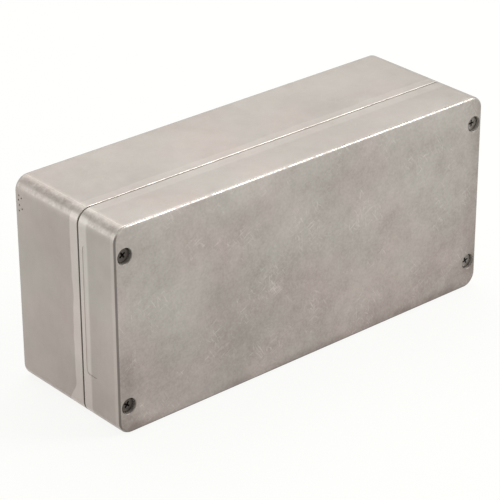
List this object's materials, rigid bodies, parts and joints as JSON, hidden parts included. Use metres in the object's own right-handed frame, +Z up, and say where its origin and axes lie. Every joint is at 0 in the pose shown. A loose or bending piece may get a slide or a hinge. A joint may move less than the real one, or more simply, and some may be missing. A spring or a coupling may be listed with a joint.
{
  "type": "die cast aluminium box",
  "caption": "Sealed die cast aluminium enclosure with a deep screw-on lid, captive corner screws, wall mounting holes under the lid and an inner earth terminal.",
  "frame": {"origin": "centre of the underside, on the surface that the box stands on", "axes": "+X along the length, +Y from the lid's face to the back, +Z up"},
  "size_m": [0.175, 0.057, 0.08],
  "materials": {
    "cast_aluminium": "as cast, tumbled",
    "seal_rubber": "moulded",
    "screw_steel": "plain stainless",
    "plated_steel": "zinc plated",
    "ring_nylon": "moulded"
  },
  "bodies": {
    "base": {"base": "cast_aluminium", "earth_screw": "plated_steel", "earth_clamp_washer": "plated_steel", "earth_lock_washer": "plated_steel"},
    "lid": {"lid": "cast_aluminium", "gasket": "seal_rubber"},
    "ring_1": {"retaining_ring_1": "ring_nylon"},
    "screw_1": {"lid_screw_1": "screw_steel"},
    "ring_2": {"retaining_ring_2": "ring_nylon"},
    "screw_2": {"lid_screw_2": "screw_steel"},
    "ring_3": {"retaining_ring_3": "ring_nylon"},
    "screw_3": {"lid_screw_3": "screw_steel"},
    "ring_4": {"retaining_ring_4": "ring_nylon"},
    "screw_4": {"lid_screw_4": "screw_steel"}
  },
  "joints": [
    {"name": "lid_lift", "type": "slide", "parent": "base", "child": "lid", "axis": [0, -1, 0], "range_m": [0, 0.06]},
    {"name": "screw_1_travel", "type": "slide", "parent": "lid", "child": "ring_1", "axis": [0, -1, 0], "range_m": [0, 0.0084]},
    {"name": "screw_1_turn", "type": "hinge", "parent": "ring_1", "child": "screw_1", "pos_m": [-0.0832, -0.0285, 0.069], "axis": [0, -1, 0], "range_deg": [0, 4320]},
    {"name": "screw_2_travel", "type": "slide", "parent": "lid", "child": "ring_2", "axis": [0, -1, 0], "range_m": [0, 0.0084]},
    {"name": "screw_2_turn", "type": "hinge", "parent": "ring_2", "child": "screw_2", "pos_m": [0.0832, -0.0285, 0.069], "axis": [0, -1, 0], "range_deg": [0, 4320]},
    {"name": "screw_3_travel", "type": "slide", "parent": "lid", "child": "ring_3", "axis": [0, -1, 0], "range_m": [0, 0.0084]},
    {"name": "screw_3_turn", "type": "hinge", "parent": "ring_3", "child": "screw_3", "pos_m": [-0.0832, -0.0285, 0.011], "axis": [0, -1, 0], "range_deg": [0, 4320]},
    {"name": "screw_4_travel", "type": "slide", "parent": "lid", "child": "ring_4", "axis": [0, -1, 0], "range_m": [0, 0.0084]},
    {"name": "screw_4_turn", "type": "hinge", "parent": "ring_4", "child": "screw_4", "pos_m": [0.0832, -0.0285, 0.011], "axis": [0, -1, 0], "range_deg": [0, 4320]}
  ],
  "couplings": [
    {"joint": "screw_1_turn", "follows": "screw_1_travel", "rad_per_m": 8976},
    {"joint": "screw_2_turn", "follows": "screw_2_travel", "rad_per_m": 8976},
    {"joint": "screw_3_turn", "follows": "screw_3_travel", "rad_per_m": 8976},
    {"joint": "screw_4_turn", "follows": "screw_4_travel", "rad_per_m": 8976}
  ]
}
